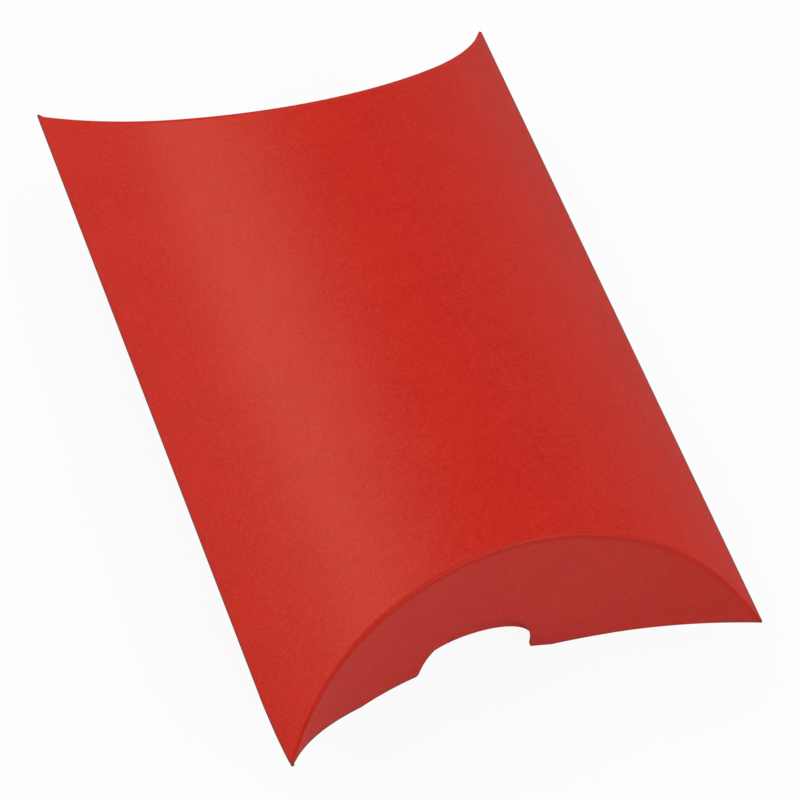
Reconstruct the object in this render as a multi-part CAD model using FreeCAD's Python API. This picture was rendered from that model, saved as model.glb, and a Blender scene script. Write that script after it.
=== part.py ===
import FreeCAD, Part
import math
import os
from FreeCAD import Vector

# Driving dimensions of the box, in millimetres and degrees
box_length = 103.0      # corner to corner along a side fold
box_width = 70.0        # side fold to side fold
box_height = 28.0       # crown of the upper panel to crown of the lower one
card_thickness = 0.4
side_slope = 50.5       # degrees between a panel and the level at a side fold
crease_angle = 48.2     # degrees between the upright and the plane of an outer crease

# End flaps
hinge_gap = 0.15        # scored line between a panel and its flap
flap_clearance = 0.3    # least gap between an outer flap and what lies behind it
tip_drop = 1.6          # the box stands on the tips of its outer flaps, this far below the lower crown
outer_relief = 0.6      # an outer flap is nicked back this far at each corner
inner_relief = 5.0      # an inner flap is nicked back this far at each corner
inner_trim = 3.0        # taken off the free edge of an inner flap, so that it swings clear of the upper panel

# Thumb notch in the outer flap, and the hole behind it across the lower crease
notch_width = 17.2
notch_height = 7.4      # above the tips of the flap
notch_corner = 4.4      # radius of an upper corner of the notch
notch_lip = 0.8         # radius that rounds the notch out into the free edge
hole_width = 16.0
hole_reach = 4.4        # from the crease into the lower panel and into the inner flap

# Glued seam along the right side fold
tab_width = 11.0        # along the bow, from the side fold
tab_setback = 9.0       # the tab starts this far from a corner
tab_taper = 6.0         # the tab is shorter by this much at each end of its inner edge
glue_gap = 0.16         # between the tab and the upper panel
glue_clearance = 0.03   # between the line of glue and each of them
glue_margin = 1.5       # bare rim of the tab round the glue

half_width = box_width / 2
rise = box_height / 2
table_depth = rise + tip_drop
slope = math.radians(side_slope)
outer_angle = math.radians(crease_angle)
inner_angle = math.pi / 2 - outer_angle
flap_setback = (card_thickness + flap_clearance) / (math.cos(slope) * math.sin(2 * outer_angle))
inner_length = box_length - 2 * flap_setback
tab_depth = card_thickness + glue_gap
fold_depth = tab_depth + card_thickness
fold_setback = flap_setback + fold_depth * math.tan(outer_angle) / math.cos(slope)
reach = box_length + box_width + box_height
across = Vector(1, 0, 0)
along = Vector(0, 1, 0)
up = Vector(0, 0, 1)
middle = Vector(0, 0, 0)


def bow():
    """Crown and shoulder of half a panel: two arcs that meet in one tangent, down to the side fold."""
    chord = Vector(half_width, 0, -rise)
    tangents = across + Vector(math.cos(slope), 0, -math.sin(slope))
    spread = 2 * (1 - math.cos(slope))
    lean = chord.dot(tangents)
    handle = (math.sqrt(lean ** 2 + spread * chord.dot(chord)) - lean) / spread
    meet_x = (half_width + handle * (1 - math.cos(slope))) / 2
    drop = (rise - handle * math.sin(slope)) / 2
    crown_radius = (meet_x ** 2 + drop ** 2) / (2 * drop)
    turn = math.asin(meet_x / crown_radius)
    shoulder_radius = (half_width - meet_x) / (math.sin(slope) - math.sin(turn))
    crown_centre = Vector(0, 0, rise - crown_radius)
    fold = Vector(half_width, 0, 0)
    shoulder_centre = fold - Vector(math.sin(slope), 0, math.cos(slope)) * shoulder_radius
    return crown_radius, crown_centre, shoulder_radius, shoulder_centre, turn


crown_radius, crown_centre, shoulder_radius, shoulder_centre, shoulder_turn = bow()


def on_arc(centre, radius, turn):
    """Point of an arc, with its turn counted from straight up towards the right side."""
    return centre + Vector(math.sin(turn), 0, math.cos(turn)) * radius


def arc(centre, radius, start, end):
    turns = (start, (start + end) / 2, end)
    return Part.Arc(*(on_arc(centre, radius, turn) for turn in turns)).toShape()


def fold_turn(inset):
    """Turn at which the shoulder, inset from its outer face, comes down to the side fold."""
    return math.acos(-shoulder_centre.z / (shoulder_radius - inset))


def bow_edges(inset):
    """The bowed line of the upper card, inset from its outer face, from one side fold to the other."""
    right = arc(shoulder_centre, shoulder_radius - inset, shoulder_turn, fold_turn(inset))
    crown = arc(crown_centre, crown_radius - inset, -shoulder_turn, shoulder_turn)
    return [right.mirror(middle, across), crown, right]


def face_inside(edges):
    return Part.Face(Part.Wire(Part.__sortEdges__(edges)))


def prism_along(face, length):
    """Solid of a face that stands across the box, drawn out evenly to both ends."""
    start = face.copy()
    start.translate(along * (-length / 2))
    return start.extrude(along * length)


def card_strip(length):
    """The bowed upper card, with square ends."""
    outer = Vector(half_width, 0, 0)
    inner = on_arc(shoulder_centre, shoulder_radius - card_thickness, fold_turn(card_thickness))
    right_rim = Part.makeLine(outer, inner)
    rims = [right_rim, right_rim.mirror(middle, across)]
    return prism_along(face_inside(bow_edges(0) + bow_edges(card_thickness) + rims), length)


def core(length):
    """All that lies under the outer face of the upper card, down to the level of the lower crown."""
    right = Vector(half_width, 0, 0)
    below = up * -rise
    sides = Part.makePolygon([right, right + below, below - right, -right]).Edges
    return prism_along(face_inside(bow_edges(0) + sides), length)


def sheet(point, direction):
    """Wide flat face through a point, level across the box and running in one direction."""
    side = across * reach
    run = direction * reach
    corners = [point + side + run, point + side - run, point - side - run, point - side + run]
    return Part.Face(Part.makePolygon(corners + corners[:1]))


class Crease:
    """Curved crease at the front end of an upper card: flat in a plane that leans back over the box."""

    def __init__(self, length, angle):
        self.foot = along * (-length / 2)
        self.climb = Vector(0, math.sin(angle), math.cos(angle))
        self.inward = Vector(0, math.cos(angle), -math.sin(angle))
        self.flap_run = Vector(0, math.cos(2 * angle), -math.sin(2 * angle))
        self.apex = self.foot + self.climb * (rise / math.cos(angle))
        self.tip = self.apex + self.flap_run * (2 * rise * math.tan(angle))
        self.plane = sheet(self.foot, self.climb)
        self.beyond = self.plane.extrude(self.inward * -reach)
        self.corner = self.plane.common(core(reach)).extrude(self.inward * reach)

    def flap(self, trim):
        """The card past the crease, folded down, up to the arc that mirrors the crease."""
        card = card_strip(reach).mirror(self.foot, self.inward)
        room = self.corner.copy()
        room.translate(self.climb * -hinge_gap)
        edge_run = (self.tip - self.foot).normalize()
        edge_out = Vector(0, edge_run.z, -edge_run.y)
        past_edge = sheet(self.foot - self.flap_run * trim, edge_run).extrude(edge_out * reach)
        return card.common(room).cut(past_edge)


def to_rear(shape):
    return shape.mirror(middle, along)


def to_lower(shape):
    return shape.mirror(middle, up)


def panel(crease):
    """The bowed card between its front and rear creases, mitred along both."""
    card = card_strip(box_length)
    for tool in (crease.beyond, crease.corner):
        card = card.cut(tool).cut(to_rear(tool))
    return card


def notch_tool():
    """Thumb notch, rounded at its corners and rounded out where it meets the free edge."""
    half = notch_width / 2
    quarter = math.pi / 2
    corner_centre = Vector(half - notch_corner, 0, notch_height - notch_corner - table_depth)
    lip_centre = Vector(half + notch_lip, 0, notch_lip - table_depth)
    flank = Part.makeLine(corner_centre + across * notch_corner, lip_centre - across * notch_lip)
    corner = arc(corner_centre, notch_corner, 0, quarter)
    right = [corner, flank, arc(lip_centre, notch_lip, -quarter, -2 * quarter)]
    left = [curve.mirror(middle, across) for curve in right]
    roof = corner_centre + up * notch_corner
    top = Part.makeLine(roof, Vector(-roof.x, 0, roof.z))
    mouth = lip_centre - up * notch_lip
    below = mouth - up * notch_height
    corners = [mouth, below, Vector(-below.x, 0, below.z), Vector(-mouth.x, 0, mouth.z)]
    closing = Part.makePolygon(corners).Edges
    return prism_along(face_inside(right + left + [top] + closing), reach)


def hole_tool(crease):
    """Thumb hole that is punched across a crease, half in the panel and half in the flap."""
    side = crease.apex + across * (hole_width / 2)
    back = crease.apex - crease.climb * (hole_reach * crease.climb.y)
    start = face_inside([Part.Ellipse(side, back, crease.apex).toShape()])
    start.translate(crease.inward * -rise)
    return start.extrude(crease.inward * box_height)


def middle_slice(width):
    """Upright slice of space, as wide as a flap may be."""
    corner = Vector(-width / 2, -reach / 2, -reach / 2)
    return Part.makeBox(width, reach, reach, corner)


def outer_flap(crease):
    below_table = sheet(up * -table_depth, along).extrude(up * -reach)
    flap = crease.flap(0).common(middle_slice(box_width - 2 * outer_relief))
    return flap.cut(below_table).cut(notch_tool())


def inner_flap(crease):
    flap = crease.flap(inner_trim).common(middle_slice(box_width - 2 * inner_relief))
    return flap.cut(hole_tool(crease))


def shoulder_layer(outer_inset, inner_inset, first_width, last_width, length):
    """Layer under the right shoulder, between two distances from the side fold along the bow."""
    radii = [shoulder_radius - inset for inset in (outer_inset, inner_inset)]
    turns = [slope - width / shoulder_radius for width in (first_width, last_width)]
    curves = [arc(shoulder_centre, radius, *turns) for radius in radii]
    ends = [Part.makeLine(*(on_arc(shoulder_centre, radius, turn) for radius in radii)) for turn in turns]
    return prism_along(face_inside(curves + ends), length)


def tapered(margin):
    """Plan of the tab: full length at the side fold, shorter at its inner edge, less a margin all round."""
    inner_x = half_width - tab_width
    long_half = box_length / 2 - tab_setback - margin
    short_half = long_half - tab_taper
    outline = [
        Vector(half_width, -long_half, -rise),
        Vector(half_width, long_half, -rise),
        Vector(inner_x, short_half, -rise),
        Vector(inner_x, -short_half, -rise),
    ]
    return Part.Face(Part.makePolygon(outline + outline[:1])).extrude(up * box_height)


def glue_tab():
    """Tab of the lower panel: a narrow fold under the upper panel's raw edge, and a flange inside it."""
    below_fold = sheet(middle, along).extrude(up * -reach)
    above_fold = sheet(up * card_thickness, along).extrude(up * reach)
    flange = shoulder_layer(tab_depth, fold_depth, -tab_width, tab_width, box_length).common(tapered(0))
    fold = shoulder_layer(0, fold_depth, -tab_width, tab_width, box_length - 2 * fold_setback).cut(above_fold)
    return flange.fuse(fold).cut(below_fold).removeSplitter()


def glue_strip():
    insets = (card_thickness + glue_clearance, tab_depth - glue_clearance)
    layer = shoulder_layer(*insets, glue_margin, tab_width - glue_margin, box_length)
    return layer.common(tapered(glue_margin))


def upper_panel(crease):
    """The upper panel, whose right edge stops short of the fold that it is glued to."""
    seam = Part.makeBox(half_width, reach, card_thickness, Vector(0, -reach / 2, 0))
    return panel(crease).cut(seam)


def lower_panel(crease):
    hole = hole_tool(crease)
    return panel(crease).cut(hole).cut(to_rear(hole))


outer_crease = Crease(box_length, outer_angle)
inner_crease = Crease(inner_length, inner_angle)
front_outer = outer_flap(outer_crease)
front_inner = to_lower(inner_flap(inner_crease))

parts = {
    "top_panel": upper_panel(outer_crease),
    "bottom_panel": to_lower(lower_panel(inner_crease)),
    "glue_tab": glue_tab(),
    "glue_strip": glue_strip(),
    "front_outer_flap": front_outer,
    "rear_outer_flap": to_rear(front_outer),
    "front_inner_flap": front_inner,
    "rear_inner_flap": to_rear(front_inner),
}

os.makedirs("parts", exist_ok=True)
for name, shape in parts.items():
    solids = shape.Solids
    piece = solids[0] if len(solids) == 1 else Part.makeCompound(solids)
    piece.translate(up * table_depth)
    piece.exportStep(os.path.join("parts", name + ".step"))
    print(name, len(solids), "solid", round(piece.Volume, 2), "mm3", piece.isValid())

outer_axis = outer_crease.apex + up * table_depth
inner_axis = inner_crease.apex + inner_crease.inward * (card_thickness / inner_crease.climb.y)
print("outer hinge y, z:", round(outer_axis.y, 3), round(outer_axis.z, 3))
print("inner hinge y, z:", round(inner_axis.y, 3), round(table_depth - inner_axis.z, 3))
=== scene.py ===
import math

import bmesh
import bpy
from mathutils import Matrix, Vector


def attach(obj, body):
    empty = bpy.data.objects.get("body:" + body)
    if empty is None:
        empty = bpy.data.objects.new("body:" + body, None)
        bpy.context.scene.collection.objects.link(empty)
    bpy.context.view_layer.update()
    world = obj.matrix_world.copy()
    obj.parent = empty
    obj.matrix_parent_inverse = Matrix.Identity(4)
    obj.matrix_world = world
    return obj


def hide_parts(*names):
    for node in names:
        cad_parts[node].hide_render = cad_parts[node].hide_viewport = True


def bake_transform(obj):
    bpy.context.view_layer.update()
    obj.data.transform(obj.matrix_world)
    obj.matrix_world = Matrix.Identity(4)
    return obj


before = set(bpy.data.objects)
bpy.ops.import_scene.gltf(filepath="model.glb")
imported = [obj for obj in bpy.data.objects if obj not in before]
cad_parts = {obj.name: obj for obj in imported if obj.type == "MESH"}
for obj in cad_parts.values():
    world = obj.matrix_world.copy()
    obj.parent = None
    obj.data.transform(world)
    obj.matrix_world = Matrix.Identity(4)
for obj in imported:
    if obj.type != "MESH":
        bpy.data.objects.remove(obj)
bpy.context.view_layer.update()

# The sheets are folded in millimetres, with the level of the side folds at zero
MM = 0.001
ACROSS = Vector((1, 0, 0))
ALONG = Vector((0, 1, 0))
UP = Vector((0, 0, 1))
PANEL, FRONT, REAR = 0, 1, 2
CUT_SNAP = 1e-5
FOLD_SNAP = 1e-4

# The box: its bow, its card, the height of its side folds and the seam at the right one
LENGTH = 103.4
HALF_WIDTH = 35.1
RISE = 13.998
SLOPE = math.radians(50.5)
CARD = 0.4
TABLE_DEPTH = 15.6
FOLD_RADIUS = 0.45
SEAM = 0.4
SEAM_RIM = 0.3
TAB_CLEAR = 0.05
TAB_SHARP = math.radians(35)
CROWN_STEPS, SHOULDER_STEPS, FOLD_STEPS = 34, 26, 4

# The creases: their lean, their rolls, and a depth into each flap
OUTER_ANGLE = math.radians(48.2)
INNER_ANGLE = math.pi / 2 - OUTER_ANGLE
SETBACK = 1.107
CREASE_ROLL = 0.7
ROLL_SEGMENTS = 6
# Roll corners that lean out past this get painted shade, the rest a painted highlight
ROLL_UNDER = 0.35
OUTER_BEND = 13.0
INNER_BEND = 5.0
PANEL_SLITS = [0.8, 1.1, 1.6, 3.0, 6.0]
FLAP_SLITS = [0.8, 1.1, 1.6] + [2.4 + 1.3 * k for k in range(15)]

# The flaps: tips, free edges as a level and a slope, and the rim beside a cut that takes a band of painted
# shade
TIP_BLUNT = 0.45
TIP_LIFT = 0.06
OUTER_RELIEF = 0.35
OUTER_TAPER = 0.56
INNER_RELIEF = 5.0
INNER_TRIM = 3.0
FRONT_TRIM = (-14.80, -0.062)
REAR_TRIM = (TIP_LIFT - TABLE_DEPTH, 0.0)
SKIM = 0.1
SKIM_FROM = 9.0
SKIM_LEAN = 0.019
RIM = 0.55
# Painted shade also covers the side folds beyond this share of their radius
SHADE_PAST_FOLD = 0.8

# The thumb notch and the thumb hole, with their fullness at the right and at the left
OVAL_STEPS = 40
NOTCH_HALF = 8.65
NOTCH_TOP = 10.2 - TABLE_DEPTH
NOTCH_BELOW = 4
NOTCH_SHIFT = -0.2
NOTCH_FULLNESS = (1.0, 0.72)
NOTCH_ROOM = 1.5
NOTCH_LIP = 0.5
LIP_ROOM = 2.5
HOLE_HALF = 8.9
HOLE_REACH = 4.1
HOLE_SHIFT = -0.2
HOLE_FULLNESS = (0.84, 0.78)
HOLE_ROOM = 3

# How far the folded box is out of true
PINCH = 0.7
PINCH_FROM = -41.0
SKEW = 0.31
SKEW_MIDDLE = -0.09

# Slivers that are closed before the creases are rolled and before the rims are marked
CREASE_SLIVER = 0.03
RIM_SLIVER = 0.01

# Colours
DEEP_RED = (0.525, 0.0085, 0.0032, 1)
FULL_RED = (0.55, 0.0105, 0.0045, 1)
MOTTLE_RED = (0.60, 0.016, 0.008, 1)
FIBRE_PALE = (0.60, 0.038, 0.026, 1)
FIBRE_DARK = (0.44, 0.007, 0.004, 1)
# Painted highlight on top of the crease rolls and painted shade under them
CREASE_HIGHLIGHT = (0.62, 0.035, 0.022, 1)
CREASE_SHADE = (0.44, 0.006, 0.004, 1)
# Painted shade along the cut edges and over the side folds
EDGE_SHADE_COLOUR = (0.16, 0.036, 0.030, 1)
GLOSS_TINT = (1, 0.85, 0.6, 1)
BARE_DARK = (0.42, 0.020, 0.014, 1)
BARE_PALE = (0.46, 0.026, 0.018, 1)
BARE_FIBRE = (0.52, 0.05, 0.04, 1)
CUT_DARK = (0.20, 0.022, 0.018, 1)
CUT_PALE = (0.34, 0.035, 0.028, 1)
GLUE_DARK = (0.78, 0.72, 0.58, 1)
GLUE_PALE = (0.84, 0.80, 0.70, 1)
FLOOR_GREY = (0.86, 0.86, 0.86, 1)
WHITE = (1, 1, 1, 1)

# Studio in metres: the floor, the light all round, and the point that the lamps face
FLOOR_SIZE = 12.0
FLOOR_WHITE = 0.92
WORLD_LIGHT = 0.505
LAMP_AIM = (0, 0, 0.02)

# Camera: focal length in pixels of the picture, place in millimetres and its three directions
PICTURE = 800
FOCAL = 2515.98
SENSOR = 36
EYE = Vector((-121.354, -141.214, 295.970 + TABLE_DEPTH))
EYE_RIGHT = Vector((0.909228, -0.363377, 0.203131))
EYE_DOWN = Vector((-0.230450, -0.845697, -0.481341))
EYE_AHEAD = Vector((0.346695, 0.390837, -0.852671))


class Bow:
    """Section of the card tube: a wide crown, tighter shoulders and small rounded side folds."""

    def __init__(self):
        chord = Vector((HALF_WIDTH, -RISE))
        tangents = Vector((1 + math.cos(SLOPE), -math.sin(SLOPE)))
        spread = 2 * (1 - math.cos(SLOPE))
        lean = chord.dot(tangents)
        handle = (math.sqrt(lean ** 2 + spread * chord.dot(chord)) - lean) / spread
        meet = (HALF_WIDTH + handle * (1 - math.cos(SLOPE))) / 2
        drop = (RISE - handle * math.sin(SLOPE)) / 2
        self.crown = (meet ** 2 + drop ** 2) / (2 * drop)
        self.meet = math.asin(meet / self.crown)
        self.shoulder = (HALF_WIDTH - meet) / (math.sin(SLOPE) - math.sin(self.meet))
        self.crown_z = RISE - self.crown
        self.shoulder_x = HALF_WIDTH - self.shoulder * math.sin(SLOPE)
        self.shoulder_z = -self.shoulder * math.cos(SLOPE)
        reach = self.shoulder - FOLD_RADIUS
        self.fold_x = self.shoulder_x + math.sqrt(reach ** 2 - self.shoulder_z ** 2)
        self.tangent = math.atan2(self.fold_x - self.shoulder_x, -self.shoulder_z)
        self.fold = math.pi / 2 - self.tangent
        self.side = self.tangent - self.meet

    def seam(self):
        """Turn and place of the raw edge of the upper card, just above the right side fold."""
        turn = math.acos((SEAM - self.shoulder_z) / self.shoulder)
        return turn, Vector((self.shoulder_x + self.shoulder * math.sin(turn), 0, SEAM))


class Score:
    """A curved crease: flat in a plane that leans over the box, at one end of the upper or lower card."""

    def __init__(self, length, angle, end, side):
        self.end, self.angle = end, angle
        self.foot = Vector((0, end * length / 2, 0))
        self.inward = Vector((0, -end * math.cos(angle), -side * math.sin(angle)))
        self.climb = Vector((0, -end * math.sin(angle), side * math.cos(angle)))
        self.outward = Vector((0, end * math.cos(angle), -side * math.sin(angle)))
        self.apex = self.foot + self.climb * (RISE / math.cos(angle))

    def past(self, point):
        return (point - self.foot).dot(self.inward) < 0


bow = Bow()
outer_scores = [Score(LENGTH, OUTER_ANGLE, end, 1) for end in (-1, 1)]
inner_scores = [Score(LENGTH - 2 * SETBACK, INNER_ANGLE, end, -1) for end in (-1, 1)]


def geometry(bm, faces=None):
    """Faces with their edges and corners, or all there is, as the cutting operators take it."""
    if faces is None:
        return bm.verts[:] + bm.edges[:] + bm.faces[:]
    return list(dict.fromkeys(part for f in faces for part in (f, *f.edges, *f.verts)))


def slit(bm, point, normal, faces=None):
    """Cuts the card along a plane."""
    bmesh.ops.bisect_plane(
        bm, geom=geometry(bm, faces), dist=CUT_SNAP, plane_co=point, plane_no=normal,
    )


def on_part(bm, *parts):
    layer = bm.faces.layers.int["part"]
    return [f for f in bm.faces if f[layer] in parts]


def shave(bm, mark, point, normal, window=lambda middle: True):
    """Cuts a flap along a plane and takes away what lies past it."""
    slit(bm, point, normal, [f for f in on_part(bm, mark) if window(f.calc_center_median())])
    past = [f for f in on_part(bm, mark) if window(f.calc_center_median())]
    past = [f for f in past if (f.calc_center_median() - point).dot(normal) > 0]
    bmesh.ops.delete(bm, geom=past, context="FACES")


def ring_planes(points, direction):
    """Planes through each pair of neighbouring points of a convex outline, all along one direction."""
    centre = sum(points, Vector()) / len(points)
    planes = []
    for a, b in zip(points, points[1:]):
        normal = (b - a).cross(direction).normalized()
        planes.append((a, normal if normal.dot(a - centre) > 0 else -normal))
    return planes


def ring_cut(bm, parts, planes, window):
    """Cuts the card along all the planes, whose normals point out of the ring, and gives the faces inside."""
    def inside(face, count):
        middle = face.calc_center_median()
        return window(middle) and all((middle - point).dot(normal) < 0 for point, normal in planes[:count])

    for count, (point, normal) in enumerate(planes):
        slit(bm, point, normal, [f for f in on_part(bm, *parts) if inside(f, count)])
    return [f for f in on_part(bm, *parts) if inside(f, len(planes))]


def punch(bm, parts, outline, direction, window):
    """Takes out the card inside an outline, and cuts a rim around it for the band of painted shade."""
    ring_cut(bm, parts, ring_planes(outline(RIM), direction), window)
    gone = ring_cut(bm, parts, ring_planes(outline(0), direction), window)
    bmesh.ops.delete(bm, geom=gone, context="FACES")


def bowed_strip(start, arcs, reach):
    """A long strip of card, bowed by turning its edge about the centre of one arc after another."""
    bm = bmesh.new()
    ends = bmesh.ops.create_vert(bm, co=start - ALONG * reach)["vert"]
    ends += bmesh.ops.create_vert(bm, co=start + ALONG * reach)["vert"]
    rim = bmesh.ops.contextual_create(bm, geom=ends)["edges"]
    last = ends + rim
    for centre, turn, steps in arcs:
        made = bmesh.ops.spin(
            bm, geom=last, cent=centre, axis=ALONG, angle=-turn, steps=steps, use_merge=False,
        )
        last = made["geom_last"]
    bm.faces.layers.int.new("part")
    return bm


def skim_edge(bm, mark, point, normal):
    """Takes a little more off the free edge of a flap at the right of the notch, towards the tip."""
    def at_right(middle):
        return middle.x > 0

    point = point + ACROSS * SKIM_FROM
    shave(bm, mark, point, normal, at_right)
    near = [f for f in on_part(bm, mark) if at_right(f.calc_center_median())]
    slit(bm, point - normal * RIM, normal, near)


def fold_ends(bm, scores, trim, relief, taper=0, lean=0):
    """Scores both ends of a strip, trims the flaps past the scores and folds them over."""
    part = bm.faces.layers.int["part"]
    for mark, score in zip((FRONT, REAR), scores):
        slit(bm, score.foot, score.inward)
        for depth in FLAP_SLITS:
            slit(bm, score.foot - score.inward * depth, score.inward)
        for depth in PANEL_SLITS:
            slit(bm, score.foot + score.inward * depth, score.inward)
        for face in bm.faces:
            if score.past(face.calc_center_median()):
                face[part] = mark
        edge = score.foot - ALONG * (score.end * trim)
        shave(bm, mark, edge, score.outward)
        slit(bm, edge - score.outward * RIM, score.outward, on_part(bm, mark))
        if lean and mark == FRONT:
            tilted = (score.outward + ACROSS * lean).normalized()
            skim_edge(bm, mark, edge - score.outward * SKIM, tilted)
        for side in (-1, 1):
            corner = score.foot - ALONG * (score.end * TIP_BLUNT) + ACROSS * (side * (HALF_WIDTH - relief))
            shave(bm, mark, corner, (ACROSS * side + ALONG * (score.end * taper)).normalized())
    for score in scores:
        for vert in bm.verts:
            depth = (vert.co - score.foot).dot(score.inward)
            if depth < -FOLD_SNAP:
                vert.co -= 2 * depth * score.inward


def oval(half, reach, fullness, turn):
    """Points of an oval, squarer than an ellipse where its fullness, right and left, is under one."""
    points = []
    for step in range(OVAL_STEPS + 1):
        angle = turn * step / OVAL_STEPS
        power = fullness[0] if math.cos(angle) > 0 else fullness[1]
        shares = (math.cos(angle), math.sin(angle))
        x, y = (math.copysign(abs(share) ** power, share) for share in shares)
        points.append((half * x, reach * y))
    return points


def notch_outline(end, grow):
    """Arch of the thumb notch, seen from its end of the box and squarer at the left."""
    half = NOTCH_HALF + grow
    arch = oval(half, NOTCH_TOP + TABLE_DEPTH + grow, NOTCH_FULLNESS, math.pi)
    arch = [(half, -NOTCH_BELOW), *arch, (-half, -NOTCH_BELOW)]
    return [Vector((-end * (x + NOTCH_SHIFT), 0, y - TABLE_DEPTH)) for x, y in arch]


def lip_planes(side, corner):
    """Tangents that round a flank of the notch out into the free edge of the flap."""
    centre = corner + (ACROSS * side + UP) * NOTCH_LIP
    turns = [math.radians(degrees) for degrees in range(15, 90, 15)]
    normals = [Vector((-side * math.cos(t), 0, -math.sin(t))) for t in turns]
    return [(centre + normal * NOTCH_LIP, normal) for normal in normals]


def cut_notch(bm, mark, end, level, slope):
    """Trims the free edge of an outer flap, cuts the thumb notch and rounds its lips."""
    def near_notch(middle):
        return abs(middle.x) < NOTCH_HALF + NOTCH_ROOM and middle.z < NOTCH_TOP + NOTCH_ROOM

    down = Vector((slope, 0, -1)).normalized()
    shave(bm, mark, UP * level, down)
    slit(bm, UP * (level + RIM), down, on_part(bm, mark))
    punch(bm, (mark,), lambda grow: notch_outline(end, grow), ALONG, near_notch)
    for side in (-1, 1):
        x = side * NOTCH_HALF - end * NOTCH_SHIFT
        corner = Vector((x, 0, level + slope * x))

        def near_lip(middle):
            return (Vector((middle.x, 0, middle.z)) - corner).length < LIP_ROOM * NOTCH_LIP

        for point, normal in lip_planes(side, corner):
            shave(bm, mark, point, normal, near_lip)


def hole_outline(score, grow):
    """Long oval thumb hole across a crease, in the plane of the crease."""
    reach = HOLE_REACH * math.sin(score.angle) + grow
    ring = oval(HOLE_HALF + grow, reach, HOLE_FULLNESS, 2 * math.pi)
    return [score.apex - ACROSS * (score.end * (x + HOLE_SHIFT)) + score.climb * y for x, y in ring]


def punch_hole(bm, mark, score):
    """Cuts the thumb hole out of the lower panel and its flap."""
    def near(middle):
        return (middle - score.apex).length < HOLE_HALF + HOLE_ROOM

    punch(bm, (PANEL, mark), lambda grow: hole_outline(score, grow), score.inward, near)


def crease_edges(bm):
    part = bm.faces.layers.int["part"]
    return [e for e in bm.edges if len(e.link_faces) == 2 and len({f[part] for f in e.link_faces}) == 2]


def face_out(bm):
    """Points the faces out of the box, judged at its flattest face."""
    bmesh.ops.recalc_face_normals(bm, faces=bm.faces[:])
    bm.normal_update()
    crown = max(bm.faces, key=lambda f: abs(f.normal.z))
    if crown.normal.z * crown.calc_center_median().z < 0:
        bmesh.ops.reverse_faces(bm, faces=bm.faces[:])


def roll_creases(bm):
    """Turns each sharp fold into a small roll, which stays with its flap, and marks its top for a painted
    highlight and its underside for painted shade.
    """
    bmesh.ops.dissolve_degenerate(bm, edges=bm.edges[:], dist=CREASE_SLIVER)
    face_out(bm)
    part = bm.faces.layers.int["part"]
    roll_highlight = bm.verts.layers.float.new("roll_highlight")
    edges = crease_edges(bm)
    for edge in edges:
        for vert in edge.verts:
            vert[roll_highlight] = 1
    made = bmesh.ops.bevel(
        bm, geom=edges, offset=CREASE_ROLL, offset_type="OFFSET", affect="EDGES",
        segments=ROLL_SEGMENTS, profile=0.5, material=-1, clamp_overlap=False,
    )
    bm.normal_update()
    roll_shade = bm.verts.layers.float.new("roll_shade")
    for vert in bm.verts:
        if vert[roll_highlight] and abs(vert.normal.y) > ROLL_UNDER:
            vert[roll_highlight], vert[roll_shade] = 0, 1
    for face in made["faces"]:
        marks = {f[part] for e in face.edges for f in e.link_faces} - {PANEL}
        face[part] = marks.pop() if marks else PANEL


def mark_rims(bm):
    """Marks the cut edges and the side folds for painted shade."""
    bmesh.ops.dissolve_degenerate(bm, edges=bm.edges[:], dist=RIM_SLIVER)
    painted_edge_shade = bm.verts.layers.float.new("painted_edge_shade")
    for vert in bm.verts:
        vert[painted_edge_shade] = vert.is_boundary or abs(vert.co.x) > bow.fold_x + SHADE_PAST_FOLD * FOLD_RADIUS


def settle(bm):
    """Leaves the folded card a little out of true: the front left tip drawn in, the rear end turned."""
    for vert in bm.verts:
        across = vert.co.x / HALF_WIDTH
        front = max(0, (PINCH_FROM - vert.co.y) / (PINCH_FROM + LENGTH / 2))
        rear = max(0, 2 * vert.co.y / LENGTH)
        vert.co.x += PINCH * front ** 2 * max(0, -across)
        vert.co.y += (SKEW_MIDDLE - SKEW * across) * rear ** 2


def upper_sheet():
    """The upper card, from the raw edge at the right side fold over to the left one."""
    turn, start = bow.seam()
    arcs = [
        ((bow.shoulder_x, 0, bow.shoulder_z), turn - bow.meet, SHOULDER_STEPS),
        ((0, 0, bow.crown_z), 2 * bow.meet, CROWN_STEPS),
        ((-bow.shoulder_x, 0, bow.shoulder_z), bow.side, SHOULDER_STEPS),
        ((-bow.fold_x, 0, 0), bow.fold, FOLD_STEPS),
    ]
    bm = bowed_strip(start, arcs, LENGTH)
    fold_ends(bm, outer_scores, 0, OUTER_RELIEF, OUTER_TAPER, SKIM_LEAN)
    for score in outer_scores:
        shave(bm, PANEL, score.foot - ALONG * (score.end * TIP_BLUNT), ALONG * score.end)
    right_side = [f for f in on_part(bm, PANEL) if f.calc_center_median().x > HALF_WIDTH / 2]
    slit(bm, UP * (SEAM + SEAM_RIM), UP, right_side)
    roll_creases(bm)
    cut_notch(bm, FRONT, -1, *FRONT_TRIM)
    cut_notch(bm, REAR, 1, *REAR_TRIM)
    mark_rims(bm)
    settle(bm)
    return bm


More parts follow.
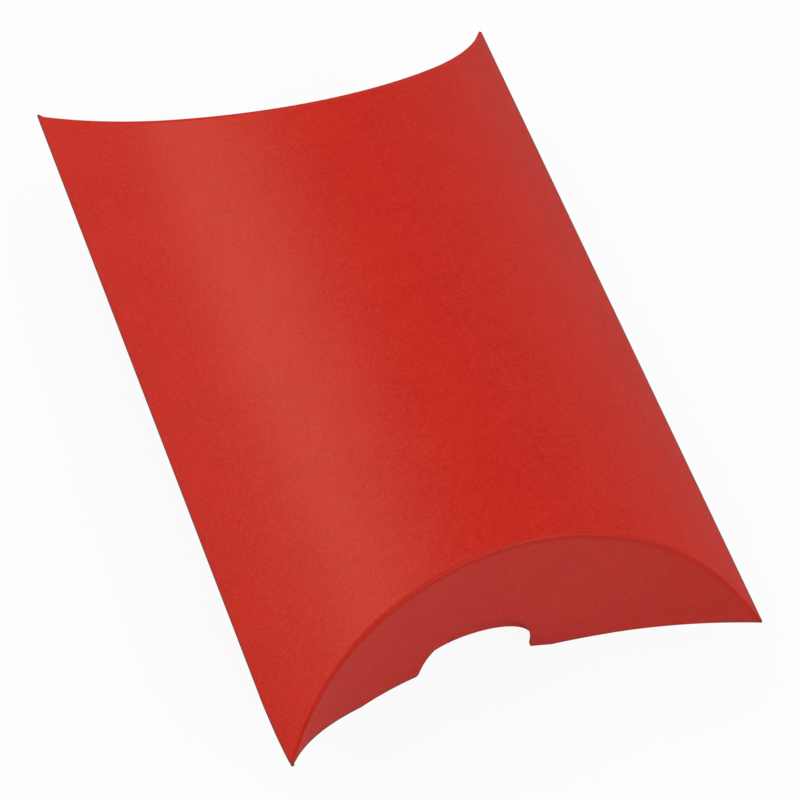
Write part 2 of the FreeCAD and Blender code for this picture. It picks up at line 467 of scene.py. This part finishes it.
def lower_sheet():
    """The lower card, from the left side fold under to the right one and round it."""
    arcs = [
        ((-bow.fold_x, 0, 0), bow.fold, FOLD_STEPS),
        ((-bow.shoulder_x, 0, -bow.shoulder_z), bow.side, SHOULDER_STEPS),
        ((0, 0, -bow.crown_z), 2 * bow.meet, CROWN_STEPS),
        ((bow.shoulder_x, 0, -bow.shoulder_z), bow.side, SHOULDER_STEPS),
        ((bow.fold_x, 0, 0), 2 * bow.fold, 2 * FOLD_STEPS),
    ]
    start = Vector((-bow.fold_x - FOLD_RADIUS, 0, 0))
    bm = bowed_strip(start, arcs, LENGTH)
    fold_ends(bm, inner_scores, INNER_TRIM, INNER_RELIEF)
    roll_creases(bm)
    for mark, score in zip((FRONT, REAR), inner_scores):
        punch_hole(bm, mark, score)
    mark_rims(bm)
    settle(bm)
    return bm


def add_object(name, data):
    """Puts a mesh, a lamp or a camera into the scene."""
    made = bpy.data.objects.new(name, data)
    bpy.context.scene.collection.objects.link(made)
    return made


def add_mesh(name, bm, *finishes):
    """Puts a finished shape into the scene with its materials."""
    mesh = bpy.data.meshes.new(name)
    bm.to_mesh(mesh)
    bm.free()
    for finish in finishes:
        mesh.materials.append(finish)
    return add_object(name, mesh)


def card_piece(name, source, part, finishes):
    """One named piece of a folded sheet, with a coated face, a bare face and cut edges."""
    bm = source.copy()
    layer = bm.faces.layers.int["part"]
    bmesh.ops.delete(bm, geom=[f for f in bm.faces if f[layer] != part], context="FACES")
    bmesh.ops.delete(bm, geom=[e for e in bm.edges if e.is_wire], context="EDGES")
    bmesh.ops.delete(bm, geom=[v for v in bm.verts if not v.link_faces], context="VERTS")
    for face in bm.faces:
        face.smooth = True
    for edge in bm.edges:
        edge.smooth = not edge.is_boundary
    bmesh.ops.translate(bm, verts=bm.verts[:], vec=UP * TABLE_DEPTH)
    bmesh.ops.scale(bm, verts=bm.verts[:], vec=(MM, MM, MM))
    piece = add_mesh(name, bm, *finishes)
    body = piece.modifiers.new("card thickness", "SOLIDIFY")
    body.thickness, body.offset = CARD * MM, -1
    body.material_offset, body.material_offset_rim = 1, 2
    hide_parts(name.removesuffix("_card"))
    return piece


def tab_piece(finish):
    """The tab inside the right shoulder, without the fold that the lower panel's own roll makes."""
    bm = bmesh.new()
    bm.from_mesh(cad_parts["glue_tab"].data)
    bmesh.ops.remove_doubles(bm, verts=bm.verts[:], dist=1e-6)
    fold_top = (TABLE_DEPTH + SEAM + TAB_CLEAR) * MM
    cut = bmesh.ops.bisect_plane(
        bm, geom=geometry(bm), dist=CUT_SNAP * MM, plane_co=UP * fold_top, plane_no=-UP, clear_outer=True,
    )
    rim = [e for e in cut["geom_cut"] if isinstance(e, bmesh.types.BMEdge)]
    bmesh.ops.holes_fill(bm, edges=rim)
    for edge in bm.edges:
        edge.smooth = edge.calc_face_angle(math.pi) < TAB_SHARP
    for face in bm.faces:
        face.smooth = True
    return add_mesh("glue_tab_card", bm, finish)


def floor_piece():
    bm = bmesh.new()
    bmesh.ops.create_grid(bm, x_segments=1, y_segments=1, size=FLOOR_SIZE)
    return add_mesh("floor", bm, studio_floor())


class Value:
    """A number that a node gives out. Sums and products of values add the Math nodes they need."""

    def __init__(self, paint, socket):
        self.paint, self.socket = paint, socket

    def math(self, operation, other):
        return self.paint.node("ShaderNodeMath", {"operation": operation}, {0: self, 1: other})

    def __add__(self, other):
        return self.math("ADD", other)

    def __mul__(self, other):
        return self.math("MULTIPLY", other)


class Paint:
    """The nodes of one material or of the world, with a shader that their values feed."""

    def __init__(self, owner, output="ShaderNodeOutputMaterial"):
        owner.use_nodes = True
        self.owner, self.tree = owner, owner.node_tree
        self.tree.nodes.clear()
        self.output = self.tree.nodes.new(output)

    def node(self, kind, settings=None, inputs=None, output=0):
        made = self.tree.nodes.new(kind)
        for key, value in (settings or {}).items():
            setattr(made, key, value)
        for key, value in (inputs or {}).items():
            if isinstance(value, Value):
                self.tree.links.new(value.socket, made.inputs[key])
            else:
                made.inputs[key].default_value = value
        return Value(self, made.outputs[output])

    def noise(self, scale, detail, rough=0.5, stretch=(1, 1, 1)):
        place = self.node("ShaderNodeTexCoord", output="Object")
        place = self.node("ShaderNodeMapping", inputs={"Vector": place, "Scale": stretch})
        inputs = {"Vector": place, "Scale": scale, "Detail": detail, "Roughness": rough}
        return self.node("ShaderNodeTexNoise", inputs=inputs)

    def attribute(self, name):
        return self.node("ShaderNodeAttribute", {"attribute_name": name}, output="Fac")

    def ramp(self, value, low, high):
        inputs = {"Value": value, "From Min": low, "From Max": high}
        return self.node("ShaderNodeMapRange", {"clamp": True}, inputs)

    def mix(self, share, first, second):
        inputs = {0: share, 6: first, 7: second}
        return self.node("ShaderNodeMix", {"data_type": "RGBA"}, inputs, output=2)

    def bump(self, height, strength, distance):
        inputs = {"Height": height, "Strength": strength, "Distance": distance}
        return self.node("ShaderNodeBump", inputs=inputs)

    def surface(self, **inputs):
        named = {key.replace("_", " "): value for key, value in inputs.items()}
        return self.show(self.node("ShaderNodeBsdfPrincipled", inputs=named))

    def show(self, shader):
        self.tree.links.new(shader.socket, self.output.inputs["Surface"])
        return self.owner


def coated_card():
    paint = Paint(bpy.data.materials.new("coated red card"))
    cloud = paint.noise(scale=140, detail=3)
    mottle = paint.noise(scale=650, detail=4, rough=0.6)
    fibre = paint.noise(scale=2300, detail=3, rough=0.6)
    tooth = paint.noise(scale=5200, detail=2)
    red = paint.mix(paint.ramp(cloud, 0.35, 0.65), DEEP_RED, FULL_RED)
    red = paint.mix(paint.ramp(mottle, 0.40, 0.66) * 0.35, red, MOTTLE_RED)
    red = paint.mix(paint.ramp(fibre, 0.46, 0.70) * 0.40, red, FIBRE_PALE)
    red = paint.mix(paint.ramp(fibre, 0.46, 0.28) * 0.30, red, FIBRE_DARK)
    # Painted highlight along the top of each crease roll, then painted shade along its underside
    red = paint.mix(paint.attribute("roll_highlight") * 0.22, red, CREASE_HIGHLIGHT)
    red = paint.mix(paint.attribute("roll_shade") * 0.35, red, CREASE_SHADE)
    # Painted shade: a dark band along every cut edge, darkest at the edge, and over the side folds
    red = paint.mix(paint.ramp(paint.attribute("painted_edge_shade"), 0.0, 0.6) * 0.80, red, EDGE_SHADE_COLOUR)
    facing = paint.node("ShaderNodeLayerWeight", inputs={"Blend": 0.5}, output="Facing")
    glance = paint.ramp(facing, 0.10, 0.46) * 0.26 + paint.ramp(facing, 0.50, 0.95) * 0.22
    rough = paint.ramp(mottle, 0.3, 0.7) * 0.1 + glance + 0.30
    height = mottle * 0.4 + fibre * 0.4 + tooth * 0.2
    normal = paint.bump(height, strength=0.6, distance=0.10 * MM)
    return paint.surface(
        Base_Color=red, Roughness=rough, Normal=normal, Specular_IOR_Level=0.27, Specular_Tint=GLOSS_TINT,
    )


def bare_card():
    paint = Paint(bpy.data.materials.new("bare inner face of the card"))
    cloud = paint.noise(scale=160, detail=3)
    fibre = paint.noise(scale=1200, detail=4, rough=0.6, stretch=(1, 0.35, 1))
    red = paint.mix(paint.ramp(cloud, 0.35, 0.65), BARE_DARK, BARE_PALE)
    red = paint.mix(paint.ramp(fibre, 0.45, 0.75) * 0.4, red, BARE_FIBRE)
    rough = paint.ramp(fibre, 0.3, 0.7) * 0.12 + 0.72
    normal = paint.bump(fibre, strength=0.4, distance=0.08 * MM)
    return paint.surface(Base_Color=red, Roughness=rough, Normal=normal, Specular_IOR_Level=0.2)


def cut_card():
    paint = Paint(bpy.data.materials.new("cut edge of the card"))
    layer = paint.noise(scale=2600, detail=3, rough=0.6)
    red = paint.mix(paint.ramp(layer, 0.35, 0.7), CUT_DARK, CUT_PALE)
    rough = paint.ramp(layer, 0.3, 0.7) * 0.1 + 0.8
    normal = paint.bump(layer, strength=0.5, distance=0.06 * MM)
    return paint.surface(Base_Color=red, Roughness=rough, Normal=normal, Specular_IOR_Level=0.15)


def dried_glue():
    paint = Paint(bpy.data.materials.new("dried white glue"))
    smear = paint.noise(scale=420, detail=3, stretch=(1, 0.2, 1))
    cream = paint.mix(paint.ramp(smear, 0.3, 0.7), GLUE_DARK, GLUE_PALE)
    rough = paint.ramp(smear, 0.3, 0.7) * 0.2 + 0.3
    normal = paint.bump(smear, strength=0.4, distance=0.2 * MM)
    return paint.surface(Base_Color=cream, Roughness=rough, Normal=normal)


def studio_floor():
    """White where the camera, gloss or glass sees it, with enough matte grey left to take the shadow."""
    paint = Paint(bpy.data.materials.new("pale studio floor"))
    camera_ray, glossy_ray, transmission_ray = (
        paint.node("ShaderNodeLightPath", output=name)
        for name in ("Is Camera Ray", "Is Glossy Ray", "Is Transmission Ray")
    )
    seen = camera_ray + glossy_ray + transmission_ray
    matte = paint.node("ShaderNodeBsdfDiffuse", inputs={"Color": FLOOR_GREY})
    white = paint.node("ShaderNodeEmission", inputs={"Color": WHITE, "Strength": 1.0})
    inputs = {0: seen * FLOOR_WHITE, 1: matte, 2: white}
    return paint.show(paint.node("ShaderNodeMixShader", inputs=inputs))


def studio_world():
    paint = Paint(bpy.data.worlds.new("studio"), "ShaderNodeOutputWorld")
    inputs = {"Color": WHITE, "Strength": WORLD_LIGHT}
    return paint.show(paint.node("ShaderNodeBackground", inputs=inputs))


def softbox(name, place, size, power):
    data = bpy.data.lights.new(name, "AREA")
    data.shape = "RECTANGLE"
    data.size, data.size_y = size
    data.energy = power
    lamp = add_object(name, data)
    lamp.location = place
    lamp.rotation_euler = (Vector(LAMP_AIM) - Vector(place)).to_track_quat("-Z", "Y").to_euler()


finishes = [coated_card(), bare_card(), cut_card()]

upper, lower = upper_sheet(), lower_sheet()
top = card_piece("top_panel_card", upper, PANEL, finishes)
bottom = card_piece("bottom_panel_card", lower, PANEL, finishes)
for piece in (top, bottom):
    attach(piece, "sleeve")

for name, sheet, part, score, depth in (
    ("front_outer_flap", upper, FRONT, outer_scores[0], OUTER_BEND),
    ("rear_outer_flap", upper, REAR, outer_scores[1], OUTER_BEND),
    ("front_inner_flap", lower, FRONT, inner_scores[0], INNER_BEND),
    ("rear_inner_flap", lower, REAR, inner_scores[1], INNER_BEND),
):
    flap = card_piece(name + "_card", sheet, part, finishes)
    start = score.foot + UP * TABLE_DEPTH
    (start + score.inward * depth) * MM
    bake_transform(flap)

tab = tab_piece(finishes[1])
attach(tab, "sleeve")
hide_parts("glue_tab")

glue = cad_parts["glue_strip"]
glue.data.materials.clear()
glue.data.materials.append(dried_glue())

floor = floor_piece()

bpy.context.scene.world = studio_world()
softbox("key", (-0.17, 0.36, 0.62), (0.40, 0.40), 1.39)
softbox("high left", (-0.45, 0.15, 0.62), (0.50, 0.50), 1.14)
softbox("left fill", (-0.75, 0.30, 0.26), (0.45, 0.40), 0.48)
softbox("right fill", (0.80, 0.34, 0.17), (0.50, 0.30), 0.50)
softbox("front fill", (0.35, -0.55, 0.60), (0.50, 0.50), 1.49)

eye = bpy.data.cameras.new("eye")
eye.sensor_width = SENSOR
eye.lens = SENSOR * FOCAL / PICTURE
eye.clip_start, eye.clip_end = 0.01, 50
camera = add_object("eye", eye)
turn = Matrix((EYE_RIGHT, -EYE_DOWN, -EYE_AHEAD)).transposed()
camera.matrix_world = Matrix.Translation(EYE * MM) @ turn.to_4x4()
bpy.context.scene.camera = camera
bpy.context.scene.view_settings.view_transform = "Standard"
